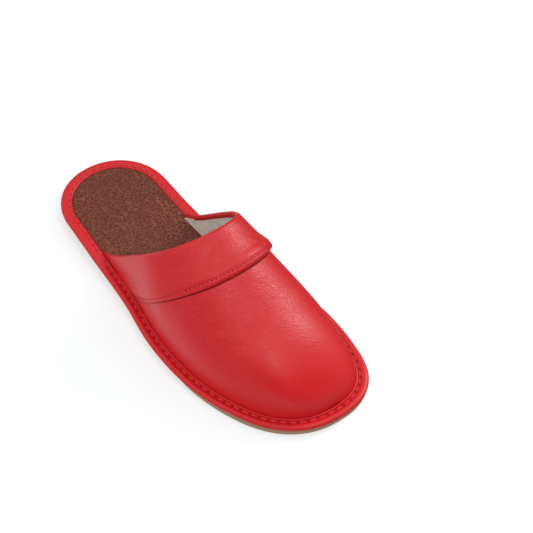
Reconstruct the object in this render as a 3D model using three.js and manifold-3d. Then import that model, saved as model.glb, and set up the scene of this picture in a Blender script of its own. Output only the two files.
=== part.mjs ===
// House slipper for the right foot: a leather mule with an open heel and a turned-down cuff.
// Lengths are millimetres. While the pieces are worked out, x = 0 is the heel's middle line with
// +x to the outer (little toe) side, y runs from the heel's back edge to the toe, and z = 0 is the
// floor. The last lines move the origin to the middle of the slipper's footprint on the floor.

import * as THREE from 'three';
import { mergeVertices } from 'three/addons/utils/BufferGeometryUtils.js';
import Module from 'manifold-3d';

const LENGTH = 265;
const GAP = 0.3;
const TINY = 1e-6;

// Outline of the red edge strip: middle line and half width at shares of the length.
const PLAN = [
  { at: 0.00, middle: 0.0, half: 38.4 },
  { at: 0.14, middle: 0.0, half: 38.5 },
  { at: 0.30, middle: -0.1, half: 39.5 },
  { at: 0.45, middle: -2.3, half: 42.1 },
  { at: 0.60, middle: -6.4, half: 48.9 },
  { at: 0.74, middle: -12.1, half: 50.7 },
  { at: 0.87, middle: -18.0, half: 45.6 },
  { at: 1.00, middle: -25.0, half: 44.2 },
];
const HEEL_CAP = { length: 41.2, power: 2.07 };
const TOE_CAP = { length: 53.5, power: 2.33 };

// Rubber sole: top height, underside height, and how far its side stands in from the strip's edge.
const SOLE = [
  { at: 0.00, top: 8.6, under: 0.0, outerInset: 2.6, innerInset: 1.6 },
  { at: 0.14, top: 8.6, under: 0.0, outerInset: 4.0, innerInset: 1.6 },
  { at: 0.28, top: 8.4, under: 0.0, outerInset: 4.4, innerInset: 2.0 },
  { at: 0.42, top: 7.3, under: 1.6, outerInset: 4.4, innerInset: 3.4 },
  { at: 0.56, top: 5.8, under: 0.0, outerInset: 3.4, innerInset: 3.2 },
  { at: 0.74, top: 4.7, under: 0.0, outerInset: 1.8, innerInset: 2.2 },
  { at: 0.86, top: 4.5, under: 0.0, outerInset: 1.2, innerInset: 1.5 },
  { at: 1.00, top: 5.4, under: 1.6, outerInset: 1.1, innerInset: 1.1 },
];
const FLAT_SPOTS = [{ from: 0, to: 76 }, { from: 146, to: 228 }];
const SOLE_EDGE = { taper: 1.0, bevel: 0.8 };

// Section of the edge strip, from its lower outer corner round to its lower inner corner:
// distance in from the outline and height over the sole, at the heel and beside the upper.
const STRIP = [
  { heelIn: 1.0, heelUp: 0.3, vampIn: 1.0, vampUp: 0.3 },
  { heelIn: 0.2, heelUp: 0.9, vampIn: 0.2, vampUp: 0.9 },
  { heelIn: 0.0, heelUp: 1.9, vampIn: 0.0, vampUp: 1.9 },
  { heelIn: 0.5, heelUp: 3.0, vampIn: 0.6, vampUp: 3.1 },
  { heelIn: 1.7, heelUp: 3.7, vampIn: 2.0, vampUp: 3.8 },
  { heelIn: 3.6, heelUp: 3.8, vampIn: 3.6, vampUp: 3.5 },
  { heelIn: 5.2, heelUp: 3.7, vampIn: 4.7, vampUp: 2.8 },
  { heelIn: 6.2, heelUp: 3.75, vampIn: 5.5, vampUp: 3.0 },
  { heelIn: 7.0, heelUp: 3.5, vampIn: 5.9, vampUp: 4.0 },
  { heelIn: 7.6, heelUp: 3.0, vampIn: 6.5, vampUp: 4.3 },
  { heelIn: 7.8, heelUp: 2.3, vampIn: 7.0, vampUp: 3.8 },
  { heelIn: 7.8, heelUp: 0.3, vampIn: 7.0, vampUp: 0.3 },
];
const STRIP_TURN = { from: 62, to: 76 };
const LIP_UP = 4.3;

// Last: height of the upper over the strip's lip, the line of its ridge and the fullness of its arch.
const LAST = [
  { y: 60, height: 88.0, ridge: -7.0, power: 2.50 },
  { y: 100, height: 86.5, ridge: -7.0, power: 2.50 },
  { y: 140, height: 74.8, ridge: -5.5, power: 2.40 },
  { y: 175, height: 59.6, ridge: -5.2, power: 2.28 },
  { y: 205, height: 44.4, ridge: -6.6, power: 2.28 },
  { y: 235, height: 35.4, ridge: -8.5, power: 2.28 },
  { y: 265, height: 27.0, ridge: -16.0, power: 2.28 },
];
const TOE_ROUNDING = 45;
const UPPER_INSET = { cuff: 9.2, vamp: 7.3, from: 127, to: 141 };
const WALL = 2.2;

// Lines across the upper, from the strip on one side over the ridge to the other side.
const COLLAR = { base: 77.5, rise: 78.2, power: 0.61 };
const CUFF_EDGE = { base: 122.6, rise: 59.6, power: 0.64 };
const CUFF = { thickness: 1.6, rim: 1.6, round: 0.5, drop: 2.6 };

const INSOLE = { inset: 8.1, up: 2.7, round: 0.8 };

const ROUND_STEPS = 54;
const ARCH_STEPS = 40;
const CUFF_STEPS = 8;
const TOE_STEPS = 15;
const TOE_CROWDING = 1.8;

// Smooth value of one column of a table at a place along it.
function along(table, key, place, column) {
  let i = 1;
  while (i < table.length - 1 && place > table[i][key]) i += 1;
  const slope = (k) => {
    const before = table[Math.max(k - 1, 0)];
    const after = table[Math.min(k + 1, table.length - 1)];
    return (after[column] - before[column]) / (after[key] - before[key]);
  };
  const step = table[i][key] - table[i - 1][key];
  const t = (place - table[i - 1][key]) / step;
  const rise = table[i][column] - table[i - 1][column];
  const start = slope(i - 1) * step - rise;
  const end = rise - slope(i) * step;
  return table[i - 1][column] + t * rise + t * (1 - t) * ((1 - t) * start + t * end);
}

const plan = (y, column) => along(PLAN, 'at', y / LENGTH, column);
const sole = (y, column) => along(SOLE, 'at', y / LENGTH, column);
const last = (y, column) => along(LAST, 'y', y, column);

// Share of the half width that is left at y on an outline set in by `inset`.
function capShare(y, inset) {
  const cap = y < LENGTH / 2 ? HEEL_CAP : TOE_CAP;
  const fromEnd = (y < LENGTH / 2 ? y : LENGTH - y) - inset;
  if (fromEnd < TINY) return 0;
  const reach = cap.length - inset;
  const a = THREE.MathUtils.clamp(1 - fromEnd / reach, 0, 1);
  return (1 - a ** cap.power) ** (1 / cap.power);
}

// x of the outline's outer side (+1) or inner side (-1), set in by `inset`.
function edgeX(side, y, inset) {
  return plan(y, 'middle') + side * (plan(y, 'half') - inset) * capShare(y, inset);
}

// Point `share` of the way from heel (0) to toe (1) along one side.
function edgePoint(side, share, inset) {
  const y = inset + (LENGTH - 2 * inset) * (1 - Math.cos(Math.PI * share)) / 2;
  return [edgeX(side, y, inset), y];
}

// Underside of the sole: flat at heel and forefoot, raised at the waist and at the toe.
function underside(y) {
  const flat = FLAT_SPOTS.some((spot) => y >= spot.from && y <= spot.to);
  return flat ? 0 : Math.max(0, sole(y, 'under'));
}

// Outline of the whole slipper as a loop of places, heel to toe on the outer side and back.
function roundTrip() {
  const trip = [];
  for (let i = 0; i < 2 * ROUND_STEPS; i += 1) {
    const outer = i <= ROUND_STEPS;
    const share = outer ? i / ROUND_STEPS : 2 - i / ROUND_STEPS;
    trip.push({ side: outer ? 1 : -1, share });
  }
  return trip;
}

// Closed body from a list of rings of points, each joined to the next. An open list gets ends, as
// triangles that turn the way the rings do. No face is made after the point `seam` of the rings.
// Each four-sided face is split along its shorter diagonal.
function bodyFromRings(rings, { closed = false, ends = null, seam = -1 } = {}) {
  const size = rings[0].length;
  const points = rings.flat();
  const apart = (i, j) => Math.hypot(...points[i].map((value, axis) => value - points[j][axis]));
  const faces = [];
  const lastRing = closed ? rings.length : rings.length - 1;
  for (let r = 0; r < lastRing; r += 1) {
    const a = r * size;
    const b = ((r + 1) % rings.length) * size;
    for (let i = 0; i < size; i += 1) {
      if (i === seam) continue;
      const j = (i + 1) % size;
      if (apart(a + i, b + j) < apart(b + i, a + j)) {
        faces.push([a + i, b + i, b + j], [a + i, b + j, a + j]);
      } else {
        faces.push([a + i, b + i, a + j], [b + i, b + j, a + j]);
      }
    }
  }
  if (!closed) {
    const far = points.length - size;
    for (const [i, j, k] of ends(rings[0])) faces.push([i, j, k]);
    for (const [i, j, k] of ends(rings[rings.length - 1])) faces.push([far + i, far + k, far + j]);
  }
  return solid(points, faces);
}

// Triangles across a round trip loop, as rungs from its outer to its inner side.
function rungs(ring) {
  const size = ring.length;
  const half = size / 2;
  const triangles = [];
  for (let i = 0; i < half; i += 1) {
    const [a, b] = [i, i + 1];
    const [c, d] = [(size - i) % size, size - i - 1];
    if (c !== a) triangles.push([a, d, c]);
    if (d !== b) triangles.push([a, b, d]);
  }
  return triangles;
}

// Geometry from points and triangles, its doubled points merged and its faces turned outwards.
function solid(points, triangles) {
  const raw = new THREE.BufferGeometry();
  raw.setAttribute('position', new THREE.Float32BufferAttribute(points.flat(), 3));
  raw.setIndex(triangles.flat());
  const geometry = mergeVertices(raw, 1e-4);
  const index = geometry.index.array;
  const kept = [];
  for (let i = 0; i < index.length; i += 3) {
    const [a, b, c] = [index[i], index[i + 1], index[i + 2]];
    if (a !== b && b !== c && c !== a) kept.push(a, b, c);
  }
  if (volume(geometry, kept) < 0) {
    for (let i = 0; i < kept.length; i += 3) [kept[i], kept[i + 1]] = [kept[i + 1], kept[i]];
  }
  geometry.setIndex(kept);
  return geometry;
}

function volume(geometry, index) {
  const at = (i) => new THREE.Vector3().fromBufferAttribute(geometry.attributes.position, i);
  let sum = 0;
  for (let i = 0; i < index.length; i += 3) {
    sum += at(index[i]).dot(at(index[i + 1]).cross(at(index[i + 2]))) / 6;
  }
  return sum;
}

const wasm = await Module();
wasm.setup();

// First geometry with the second cut away.
function cut(body, tool) {
  const [from, by] = [body, tool].map((geometry) => new wasm.Manifold(new wasm.Mesh({
    numProp: 3,
    vertProperties: new Float32Array(geometry.attributes.position.array),
    triVerts: new Uint32Array(geometry.index.array),
  })));
  const mesh = from.subtract(by).getMesh();
  const geometry = new THREE.BufferGeometry();
  geometry.setAttribute('position', new THREE.BufferAttribute(mesh.vertProperties, 3));
  geometry.setIndex(new THREE.BufferAttribute(mesh.triVerts, 1));
  return geometry;
}

// The last's surface: `arch` goes from 0 at the outer side over the ridge to PI at the inner side,
// `depth` is measured in from the upper's outer face, and `drop` carries the wall below the lip.
function lastPoint(y, arch, depth, drop = 0) {
  const blend = THREE.MathUtils.smoothstep(y, UPPER_INSET.from, UPPER_INSET.to);
  const inset = THREE.MathUtils.lerp(UPPER_INSET.cuff, UPPER_INSET.vamp, blend) + depth;
  const outer = edgeX(1, y, inset);
  const inner = edgeX(-1, y, inset);
  const middle = (outer + inner) / 2;
  const power = 2 / last(y, 'power');
  const across = Math.cos(arch);
  const up = Math.sin(arch);
  const toToe = toeTip(depth) - y;
  const bow = THREE.MathUtils.clamp(1 - toToe / (TOE_ROUNDING - depth), 0, 1);
  const height = (last(y, 'height') - depth) * Math.sqrt(1 - bow ** 2);
  const lean = (last(y, 'ridge') - middle) * Math.min(1, (outer - inner) / LENGTH * 6);
  const x = middle + (outer - inner) / 2 * Math.sign(across) * Math.abs(across) ** power + lean * up ** 2;
  const z = sole(y, 'top') + LIP_UP - drop + height * Math.max(up, 0) ** power;
  return [x, y, z];
}

const toeTip = (depth) => LENGTH - UPPER_INSET.vamp - depth;
const lineAcross = (line, arch) => line.base + line.rise * Math.max(Math.sin(arch), 0) ** line.power;

// Place `width` in front of the collar's edge, which runs steeply down the two sides.
function aheadOfCollar(arch, width) {
  return lineAcross(COLLAR, arch) + width * (2 - Math.max(Math.sin(arch), 0));
}

// Places across the arch, closer together near the strip, with the wall's foot at each end.
function archPlaces(drop) {
  const places = [{ arch: 0, drop }];
  for (let i = 0; i <= ARCH_STEPS; i += 1) {
    const u = i / ARCH_STEPS;
    places.push({ arch: Math.PI * u - 0.42 * Math.sin(2 * Math.PI * u), drop: 0 });
  }
  places.push({ arch: Math.PI, drop });
  return places;
}

// Places along the last for one place of the arch: even under the cuff, crowded at the toe.
function lengthPlaces(arch, ahead, tip) {
  const rim = aheadOfCollar(arch, CUFF.rim);
  const front = lineAcross(CUFF_EDGE, arch);
  const places = [aheadOfCollar(arch, ahead)];
  for (let i = 1; i <= CUFF_STEPS; i += 1) {
    places.push(THREE.MathUtils.lerp(rim, front, i / CUFF_STEPS));
  }
  for (let i = 1; i < TOE_STEPS; i += 1) {
    places.push(tip - (tip - front) * (1 - i / TOE_STEPS) ** TOE_CROWDING);
  }
  return [...places, tip];
}

// Hollow shell between two depths of the last, from a line ahead of the collar's edge to the toe.
function shell(outerDepth, innerDepth, ahead, drop) {
  const rings = [];
  const places = archPlaces(drop);
  for (const place of places) {
    const [outer, inner] = [outerDepth, innerDepth].map((depth) => (
      lengthPlaces(place.arch, ahead, toeTip(depth)).map((y) => (
        lastPoint(y, place.arch, depth, place.drop)))));
    rings.push([...outer, ...inner.reverse()]);
  }
  return bodyFromRings(rings, { ends: ladder, seam: CUFF_STEPS + TOE_STEPS });
}

// Triangles across a ring made of a row and the same row back.
function ladder(ring) {
  const size = ring.length;
  const triangles = [];
  for (let i = 0; i < size / 2 - 1; i += 1) {
    const back = size - 1 - i;
    triangles.push([i, back - 1, back], [i, i + 1, back - 1]);
  }
  return triangles;
}

// Triangles across a level ring of any outline.
function levelEnd(ring) {
  const outline = ring.map(([x, y]) => new THREE.Vector2(x, y));
  const clockwise = THREE.ShapeUtils.isClockWise(outline);
  return THREE.ShapeUtils.triangulateShape(outline, []).map((corners) => {
    const same = THREE.ShapeUtils.isClockWise(corners.map((i) => outline[i])) === clockwise;
    return same ? corners : corners.reverse();
  });
}

function makeOutsole() {
  const levels = [
    { inset: SOLE_EDGE.taper + SOLE_EDGE.bevel, height: (y) => underside(y) },
    { inset: SOLE_EDGE.taper, height: (y) => underside(y) + SOLE_EDGE.bevel },
    { inset: 0, height: (y) => sole(y, 'top') - SOLE_EDGE.bevel },
    { inset: SOLE_EDGE.bevel, height: (y) => sole(y, 'top') },
  ];
  const rings = levels.map((level) => roundTrip().map(({ side, share }) => {
    const rough = LENGTH * (1 - Math.cos(Math.PI * share)) / 2;
    const sideInset = sole(rough, side > 0 ? 'outerInset' : 'innerInset');
    const endInset = share < 0.5 ? SOLE[0].outerInset : SOLE[SOLE.length - 1].outerInset;
    const round = Math.sin(Math.PI * share);
    const inset = level.inset + THREE.MathUtils.lerp(endInset, sideInset, round);
    const [x, y] = edgePoint(side, share, inset);
    return [x, y, level.height(y)];
  }));
  return bodyFromRings(rings, { ends: rungs });
}

function makeBinding() {
  const rings = roundTrip().map(({ side, share }) => STRIP.map((corner) => {
    const rough = LENGTH * (1 - Math.cos(Math.PI * share)) / 2;
    const turn = THREE.MathUtils.smoothstep(rough, STRIP_TURN.from, STRIP_TURN.to);
    const [x, y] = edgePoint(side, share, THREE.MathUtils.lerp(corner.heelIn, corner.vampIn, turn));
    return [x, y, sole(y, 'top') + THREE.MathUtils.lerp(corner.heelUp, corner.vampUp, turn)];
  }));
  return bodyFromRings(rings, { closed: true });
}

function makeInsole() {
  const levels = [
    { inset: INSOLE.inset, up: GAP },
    { inset: INSOLE.inset, up: INSOLE.up - INSOLE.round },
    { inset: INSOLE.inset + INSOLE.round, up: INSOLE.up },
  ];
  const rings = levels.map((level) => roundTrip().map(({ side, share }) => {
    const [x, y] = edgePoint(side, share, level.inset);
    return [x, y, sole(y, 'top') + level.up];
  }));
  const slot = shell(-CUFF.thickness - 2 * GAP, WALL + GAP, -GAP, LIP_UP);
  return cut(bodyFromRings(rings, { ends: rungs }), slot);
}

function makeUpper() {
  return shell(0, WALL, CUFF.rim + GAP, LIP_UP - GAP);
}

// Cuff: a layer over the upper from the collar to the cuff's edge, turned over the upper's rim.
function makeCuff() {
  const faceDepth = -GAP - CUFF.thickness;
  const rings = archPlaces(CUFF.drop).map(({ arch, drop }) => {
    const collar = lineAcross(COLLAR, arch);
    const rim = aheadOfCollar(arch, CUFF.rim);
    const front = lineAcross(CUFF_EDGE, arch);
    const point = (y, depth) => lastPoint(y, arch, depth, drop);
    const ring = [point(collar, WALL - CUFF.round), point(collar, faceDepth + CUFF.round)];
    for (let i = 0; i <= CUFF_STEPS; i += 1) {
      const y = THREE.MathUtils.lerp(collar + CUFF.round, front - CUFF.round, i / CUFF_STEPS);
      ring.push(point(y, faceDepth));
    }
    ring.push(point(front, faceDepth + CUFF.round));
    for (let i = CUFF_STEPS; i >= 0; i -= 1) {
      ring.push(point(THREE.MathUtils.lerp(rim, front, i / CUFF_STEPS), -GAP));
    }
    ring.push(point(rim, WALL), point(collar + CUFF.round, WALL));
    return ring;
  });
  return bodyFromRings(rings, { ends: levelEnd });
}

function piece(name, geometry, color, roughness) {
  geometry.computeVertexNormals();
  const mesh = new THREE.Mesh(geometry, new THREE.MeshStandardMaterial({ color, roughness, metalness: 0 }));
  mesh.name = name;
  return mesh;
}

const slipper = new THREE.Group();
slipper.add(piece('outsole', makeOutsole(), '#9b8268', 0.7));
slipper.add(piece('binding', makeBinding(), '#d64346', 0.45));
slipper.add(piece('insole', makeInsole(), '#6f4032', 0.6));
slipper.add(piece('upper', makeUpper(), '#c8262d', 0.42));
slipper.add(piece('cuff', makeCuff(), '#c9343a', 0.42));

const footprint = new THREE.Box3().setFromObject(slipper);
const middle = footprint.getCenter(new THREE.Vector3());
slipper.position.set(-middle.x, -middle.y, -footprint.min.z);

export default slipper;
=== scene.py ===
"""Looks of a red leather house slipper for the right foot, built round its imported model."""
import math

import bpy
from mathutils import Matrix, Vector, noise


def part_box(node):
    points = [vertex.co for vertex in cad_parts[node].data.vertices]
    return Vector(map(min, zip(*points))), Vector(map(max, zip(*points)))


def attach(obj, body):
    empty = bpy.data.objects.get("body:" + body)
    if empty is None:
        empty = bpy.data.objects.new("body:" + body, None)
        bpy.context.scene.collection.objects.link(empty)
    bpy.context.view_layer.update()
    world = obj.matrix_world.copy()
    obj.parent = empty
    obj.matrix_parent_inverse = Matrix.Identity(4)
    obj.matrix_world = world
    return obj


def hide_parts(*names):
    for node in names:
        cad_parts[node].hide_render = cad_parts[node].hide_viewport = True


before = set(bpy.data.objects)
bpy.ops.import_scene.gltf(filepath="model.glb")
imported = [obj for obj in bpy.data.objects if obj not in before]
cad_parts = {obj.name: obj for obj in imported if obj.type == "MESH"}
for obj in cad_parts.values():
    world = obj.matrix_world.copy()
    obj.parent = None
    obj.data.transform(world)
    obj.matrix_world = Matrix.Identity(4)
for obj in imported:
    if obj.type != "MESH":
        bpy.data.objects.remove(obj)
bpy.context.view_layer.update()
bpy.ops.object.select_all(action="DESELECT")

# The tables and shape functions are in millimetres, with x = 0 on the heel's middle line, y from
# the heel's back edge to the toe and z up from the floor. placed() turns such a point into metres.
MM = 0.001
LENGTH = 265.0
HEEL_LINE_FROM_INNER_SIDE = 63.35

strip_low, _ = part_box("binding")
HEEL_LINE_X = strip_low.x + HEEL_LINE_FROM_INNER_SIDE * MM
HEEL_BACK_Y = strip_low.y


def placed(x, y, z):
    return Vector((x * MM + HEEL_LINE_X, y * MM + HEEL_BACK_Y, z * MM))


# Outline of the edge strip: share of the length, its middle line and its half width. Its ends are
# rounded by caps, each with its reach along y and the power of its curve.
PLAN = [
    {"at": 0.00, "middle": 0.0, "half": 38.4},
    {"at": 0.14, "middle": 0.0, "half": 38.5},
    {"at": 0.30, "middle": -0.1, "half": 39.5},
    {"at": 0.45, "middle": -2.3, "half": 42.1},
    {"at": 0.60, "middle": -6.4, "half": 48.9},
    {"at": 0.74, "middle": -12.1, "half": 50.7},
    {"at": 0.87, "middle": -18.0, "half": 45.6},
    {"at": 1.00, "middle": -25.0, "half": 44.2},
]
HEEL_CAP = (41.2, 2.07)
TOE_CAP = (53.5, 2.33)

# Sole by share of the length: how high its top and underside are, and how far its side stands in
# under the strip on the outer and the inner side. On the flat spots it stands on the floor.
SOLE = [
    {"at": 0.00, "top": 8.6, "under": 0.0, "outer": 2.6, "inner": 1.6},
    {"at": 0.14, "top": 8.6, "under": 0.0, "outer": 4.0, "inner": 1.6},
    {"at": 0.28, "top": 8.4, "under": 0.0, "outer": 4.4, "inner": 2.0},
    {"at": 0.42, "top": 7.3, "under": 1.6, "outer": 4.4, "inner": 3.4},
    {"at": 0.56, "top": 5.8, "under": 0.0, "outer": 3.4, "inner": 3.2},
    {"at": 0.74, "top": 4.7, "under": 0.0, "outer": 1.8, "inner": 2.2},
    {"at": 0.86, "top": 4.5, "under": 0.0, "outer": 1.2, "inner": 1.5},
    {"at": 1.00, "top": 5.4, "under": 1.6, "outer": 1.1, "inner": 1.1},
]
FLAT_SPOTS = [(0, 76), (146, 228)]
# Line along the middle of the sole that footbed and sole close up to.
SPINE_START = 34.0
SPINE_END = 225.0
SPINE_POWER = 1.1

# The last, which gives the upper its shape: height over the strip's lip, where its ridge runs, and
# the power of the curve that its cross section follows.
LAST = [
    {"y": 60, "height": 88.0, "ridge": -7.0, "power": 2.50},
    {"y": 100, "height": 86.5, "ridge": -7.0, "power": 2.50},
    {"y": 140, "height": 74.8, "ridge": -5.5, "power": 2.40},
    {"y": 175, "height": 59.6, "ridge": -5.2, "power": 2.28},
    {"y": 205, "height": 44.4, "ridge": -6.6, "power": 2.28},
    {"y": 235, "height": 35.4, "ridge": -8.5, "power": 2.28},
    {"y": 265, "height": 27.0, "ridge": -16.0, "power": 2.28},
]
TOE_ROUNDING = 45.0
# Under this width, close to the toe's tip, the ridge comes back to the middle.
RIDGE_WIDTH = LENGTH / 6
LIP_UP = 4.3
# How far the last stands in from the outline under the cuff and ahead of it, and where it changes.
CUFF_INSET = 9.2
VAMP_INSET = 7.3
INSET_CHANGE = (116.0, 164.0)

# Lines across the upper: place at the strip, how far it moves on at the ridge, and its power.
COLLAR = (77.5, 78.2, 0.61)
CUFF_EDGE = (122.6, 59.6, 0.64)


def clamp(value, low=0.0, high=1.0):
    return max(low, min(high, value))


def mix(a, b, share):
    return a + (b - a) * share


def smooth(value, low, high):
    t = clamp((value - low) / (high - low))
    return t * t * (3 - 2 * t)


def bump(value, centre, reach):
    """1 at the centre, falling softly to 0 at `reach` on both sides."""
    return 1 - smooth(abs(value - centre), 0, reach)


def along(table, key, place, column):
    """Smooth value of one column of a table at a place along it."""
    i = 1
    while i < len(table) - 1 and place > table[i][key]:
        i += 1

    def slope(k):
        before, after = table[max(k - 1, 0)], table[min(k + 1, len(table) - 1)]
        return (after[column] - before[column]) / (after[key] - before[key])

    a, b = table[i - 1], table[i]
    step = b[key] - a[key]
    t = (place - a[key]) / step
    rise = b[column] - a[column]
    start = slope(i - 1) * step - rise
    end = rise - slope(i) * step
    return a[column] + t * rise + t * (1 - t) * ((1 - t) * start + t * end)


def plan(y, column):
    return along(PLAN, "at", y / LENGTH, column)


def sole(y, column):
    return along(SOLE, "at", y / LENGTH, column)


def last(y, column):
    return along(LAST, "y", y, column)


def edge_x(side, y, inset):
    """x of the outline's outer side (+1) or inner side (-1), set in by `inset`."""
    reach, power = HEEL_CAP if y < LENGTH / 2 else TOE_CAP
    from_end = min(y, LENGTH - y) - inset
    share = 0.0
    if from_end > 1e-6:
        share = (1 - clamp(1 - from_end / (reach - inset)) ** power) ** (1 / power)
    return plan(y, "middle") + side * (plan(y, "half") - inset) * share


def way_to_toe(trip):
    """Share of the way from heel to toe, for a round trip that goes there and back from 0 to 2."""
    return trip if trip <= 1 else 2 - trip


def edge_point(trip, inset):
    """Point of the outline: trip 0 at the heel, 1 at the toe by the outer side, 2 back again."""
    side = 1 if trip <= 1 else -1
    share = way_to_toe(trip)
    y = inset + (LENGTH - 2 * inset) * (1 - math.cos(math.pi * share)) / 2
    return edge_x(side, y, inset), y


def underside(y):
    if any(low <= y <= high for low, high in FLAT_SPOTS):
        return 0.0
    return max(0.0, sole(y, "under"))


def toe_tip(depth):
    return LENGTH - VAMP_INSET - depth


def last_point(y, arch, depth, drop=0.0):
    """Point of the last: `arch` runs 0..pi over the ridge, `depth` goes in from its face."""
    inset = mix(CUFF_INSET, VAMP_INSET, smooth(y, *INSET_CHANGE)) + depth
    outer, inner = edge_x(1, y, inset), edge_x(-1, y, inset)
    middle = (outer + inner) / 2
    power = 2 / last(y, "power")
    across, up = math.cos(arch), max(math.sin(arch), 0.0)
    bow = clamp(1 - (toe_tip(depth) - y) / (TOE_ROUNDING - depth))
    height = (last(y, "height") - depth) * math.sqrt(1 - bow ** 2)
    lean = (last(y, "ridge") - middle) * min(1, (outer - inner) / RIDGE_WIDTH)
    x = middle + (outer - inner) / 2 * math.copysign(abs(across) ** power, across) + lean * up ** 2
    return x, y, sole(y, "top") + LIP_UP - drop + height * up ** power


def line_across(line, arch):
    base, rise, power = line
    return base + rise * max(math.sin(arch), 0.0) ** power


def line_point(line, arch, depth=-1.9, ahead=0.0):
    return Vector(last_point(line_across(line, arch) + ahead, arch, depth))


stretches = {}


def stretch(line, arch):
    """How far to go along y to move 1 mm square across a line that runs slantwise over the upper."""
    arch = clamp(arch, 0.02, math.pi - 0.02)
    key = (line, round(arch, 6))
    if key not in stretches:
        run = line_point(line, arch + 0.01) - line_point(line, arch - 0.01)
        forward = line_point(line, arch, ahead=0.5) - line_point(line, arch, ahead=-0.5)
        stretches[key] = run.length / forward.cross(run).length
    return stretches[key]


# Making meshes

SMOOTH_UP_TO = math.radians(50)


def activate(piece):
    bpy.ops.object.select_all(action="DESELECT")
    piece.select_set(True)
    bpy.context.view_layer.objects.active = piece


def shaped_grid(name, across, lengthwise, point, uv=None, worked=None):
    """A grid laid on a shape by point(u, v), in millimetres, with u and v from 0 to 1.

    uv(u, v) gives its map in metres, and worked(u, v) how creased the leather is there.
    """
    bpy.ops.mesh.primitive_grid_add(x_subdivisions=across, y_subdivisions=lengthwise, size=2)
    piece = bpy.context.object
    piece.name = piece.data.name = name
    mesh = piece.data
    shares = [((v.co.x + 1) / 2, (v.co.y + 1) / 2) for v in mesh.vertices]
    for vertex, (u, v) in zip(mesh.vertices, shares):
        vertex.co = placed(*point(u, v))
    if uv:
        layer = mesh.uv_layers.active.data
        for loop in mesh.loops:
            layer[loop.index].uv = uv(*shares[loop.vertex_index])
    if worked:
        values = mesh.attributes.new("worked", "FLOAT", "POINT").data
        for value, (u, v) in zip(values, shares):
            value.value = worked(u, v)
    return piece


def merge_doubles(piece, distance=0.00001):
    activate(piece)
    bpy.ops.object.mode_set(mode="EDIT")
    bpy.ops.mesh.select_all(action="SELECT")
    bpy.ops.mesh.remove_doubles(threshold=distance)
    bpy.ops.mesh.dissolve_degenerate(threshold=distance)
    bpy.ops.mesh.select_all(action="SELECT")
    bpy.ops.mesh.normals_make_consistent(inside=False)
    bpy.ops.object.mode_set(mode="OBJECT")


def close_ends(piece):
    """Fills the open ends of a tube."""
    activate(piece)
    bpy.ops.object.mode_set(mode="EDIT")
    bpy.ops.mesh.select_mode(type="EDGE")
    bpy.ops.mesh.select_all(action="DESELECT")
    bpy.ops.mesh.select_non_manifold()
    bpy.ops.mesh.fill()
    bpy.ops.mesh.select_all(action="SELECT")
    bpy.ops.mesh.normals_make_consistent(inside=False)
    bpy.ops.object.mode_set(mode="OBJECT")


def modify(piece, kind, **settings):
    """Adds a modifier and applies it."""
    activate(piece)
    modifier = piece.modifiers.new(kind.title(), kind)
    for key, value in settings.items():
        setattr(modifier, key, value)
    bpy.ops.object.modifier_apply(modifier=modifier.name)


def thicken(piece, thickness):
    """Gives an open sheet its wall, on the side away from its faces' normals."""
    modify(piece, "SOLIDIFY", thickness=thickness * MM, offset=-1, use_even_offset=False)


def smooth_loop(points, per_span):
    """A smooth closed curve through points, with `per_span` places from each one to the next."""
    n = len(points)
    gaps = [max(math.dist(points[i], points[(i + 1) % n]), 1e-6) for i in range(n)]
    slopes = []
    for i in range(n):
        before, after = points[i - 1], points[(i + 1) % n]
        slopes.append([(b - a) / (gaps[i - 1] + gaps[i]) for a, b in zip(before, after)])
    out = []
    for i in range(n):
        j = (i + 1) % n
        for k in range(per_span):
            t = k / per_span
            start, end = t * (1 - t) ** 2 * gaps[i], t * t * (t - 1) * gaps[i]
            ease = t * t * (3 - 2 * t)
            out.append(tuple(
                a + (b - a) * ease + p * start + q * end
                for a, b, p, q in zip(points[i], points[j], slopes[i], slopes[j])))
    return out


def disc_point(trip, inset, share):
    """Point of the outline moved inwards by a share of the way to the sole's middle line."""
    x, y = edge_point(trip, inset)
    part = way_to_toe(trip)
    spine_y = SPINE_START + (SPINE_END - SPINE_START) * part ** SPINE_POWER
    return mix(x, plan(spine_y, "middle"), share), mix(y, spine_y, share)


def dress(piece, slot, *replaced):
    """Shades a finished piece smooth and joins it to the frame."""
    activate(piece)
    bpy.ops.object.shade_smooth_by_angle(angle=SMOOTH_UP_TO)
    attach(piece, "root")
    if replaced:
        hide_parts(*replaced)


# Materials. Patterns are in metres: a scale of 700 gives folds about 1.4 mm wide.

def new_material(name):
    material = bpy.data.materials.new(name)
    material.use_nodes = True
    tree = material.node_tree
    return material, tree, tree.nodes["Principled BSDF"]


def fill(tree, item, inputs):
    """Joins each named input of a node to a socket, or sets it to a value."""
    for key, value in inputs.items():
        if isinstance(value, bpy.types.NodeSocket):
            tree.links.new(value, item.inputs[key])
        else:
            item.inputs[key].default_value = value


def add(tree, kind, inputs=None, **settings):
    """Adds a node with its settings and fills its inputs."""
    item = tree.nodes.new("ShaderNode" + kind)
    for key, value in settings.items():
        setattr(item, key, value)
    fill(tree, item, inputs or {})
    return item


def place_on(tree, kind="Object"):
    """Where a point lies on its piece: in its own metres, or on its UV map."""
    return add(tree, "TexCoord").outputs[kind]


def math_node(tree, operation, a, b=0.0):
    return add(tree, "Math", {0: a, 1: b}, operation=operation).outputs[0]


def ranged(tree, value, low, high, to_low=0.0, to_high=1.0):
    """Turns the range low..high softly into to_low..to_high."""
    inputs = {"Value": value, "From Min": low, "From Max": high, "To Min": to_low, "To Max": to_high}
    return add(tree, "MapRange", inputs, interpolation_type="SMOOTHSTEP").outputs[0]


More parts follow.
